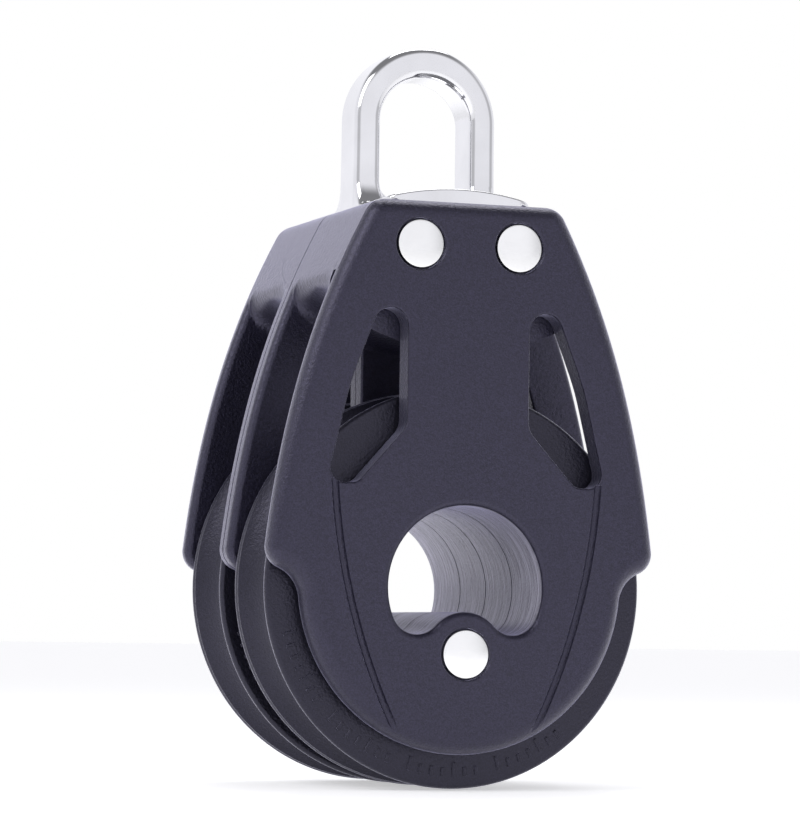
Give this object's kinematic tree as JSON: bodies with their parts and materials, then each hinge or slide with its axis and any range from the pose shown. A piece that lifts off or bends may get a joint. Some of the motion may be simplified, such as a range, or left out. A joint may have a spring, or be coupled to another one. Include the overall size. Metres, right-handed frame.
{
  "type": "sheave block",
  "caption": "Rope block with two ball-bearing sheaves side by side between windowed composite cheeks, an open hub and a fixed stainless eye.",
  "frame": {"origin": "on the common axis of the sheaves, half way through the thickness", "axes": "+X to the right seen from the front, +Y from the front cheek to the back cheek along the axis of the sheaves, +Z towards the eye"},
  "size_m": [0.0586, 0.044, 0.1082],
  "materials": {
    "cheek": "satin, finely grained glass-filled composite",
    "sheave": "satin moulded composite",
    "eye": "polished stainless steel",
    "rivet": "satin stainless steel",
    "race": "ground stainless steel",
    "balls": "polished acetal",
    "cage": "moulded acetal"
  },
  "bodies": {
    "block": {"front_cheek": "cheek", "front_inner_cheek": "cheek", "back_inner_cheek": "cheek", "back_cheek": "cheek", "eye": "eye", "left_head_rivet": "rivet", "right_head_rivet": "rivet", "lower_rivet": "rivet", "front_race": "race", "back_race": "race"},
    "front_sheave": {"front_sheave": "sheave"},
    "back_sheave": {"back_sheave": "sheave"},
    "front_outer_bearing": {"front_sheave_outer_balls": "balls", "front_sheave_outer_cage": "cage"},
    "front_inner_bearing": {"front_sheave_inner_balls": "balls", "front_sheave_inner_cage": "cage"},
    "back_outer_bearing": {"back_sheave_outer_balls": "balls", "back_sheave_outer_cage": "cage"},
    "back_inner_bearing": {"back_sheave_inner_balls": "balls", "back_sheave_inner_cage": "cage"}
  },
  "joints": [
    {"name": "front_sheave_spin", "type": "hinge", "parent": "block", "child": "front_sheave", "pos_m": [0, -0.0103, 0], "axis": [0, 1, 0], "continuous": true},
    {"name": "front_outer_bearing_roll", "type": "hinge", "parent": "block", "child": "front_outer_bearing", "pos_m": [0, -0.01375, 0], "axis": [0, 1, 0], "continuous": true},
    {"name": "front_inner_bearing_roll", "type": "hinge", "parent": "block", "child": "front_inner_bearing", "pos_m": [0, -0.00685, 0], "axis": [0, 1, 0], "continuous": true},
    {"name": "back_sheave_spin", "type": "hinge", "parent": "block", "child": "back_sheave", "pos_m": [0, 0.0103, 0], "axis": [0, 1, 0], "continuous": true},
    {"name": "back_outer_bearing_roll", "type": "hinge", "parent": "block", "child": "back_outer_bearing", "pos_m": [0, 0.01375, 0], "axis": [0, 1, 0], "continuous": true},
    {"name": "back_inner_bearing_roll", "type": "hinge", "parent": "block", "child": "back_inner_bearing", "pos_m": [0, 0.00685, 0], "axis": [0, 1, 0], "continuous": true}
  ],
  "couplings": [
    {"joint": "front_outer_bearing_roll", "follows": "front_sheave_spin", "ratio": 0.54799},
    {"joint": "front_inner_bearing_roll", "follows": "front_sheave_spin", "ratio": 0.54799},
    {"joint": "back_outer_bearing_roll", "follows": "back_sheave_spin", "ratio": 0.54799},
    {"joint": "back_inner_bearing_roll", "follows": "back_sheave_spin", "ratio": 0.54799}
  ]
}
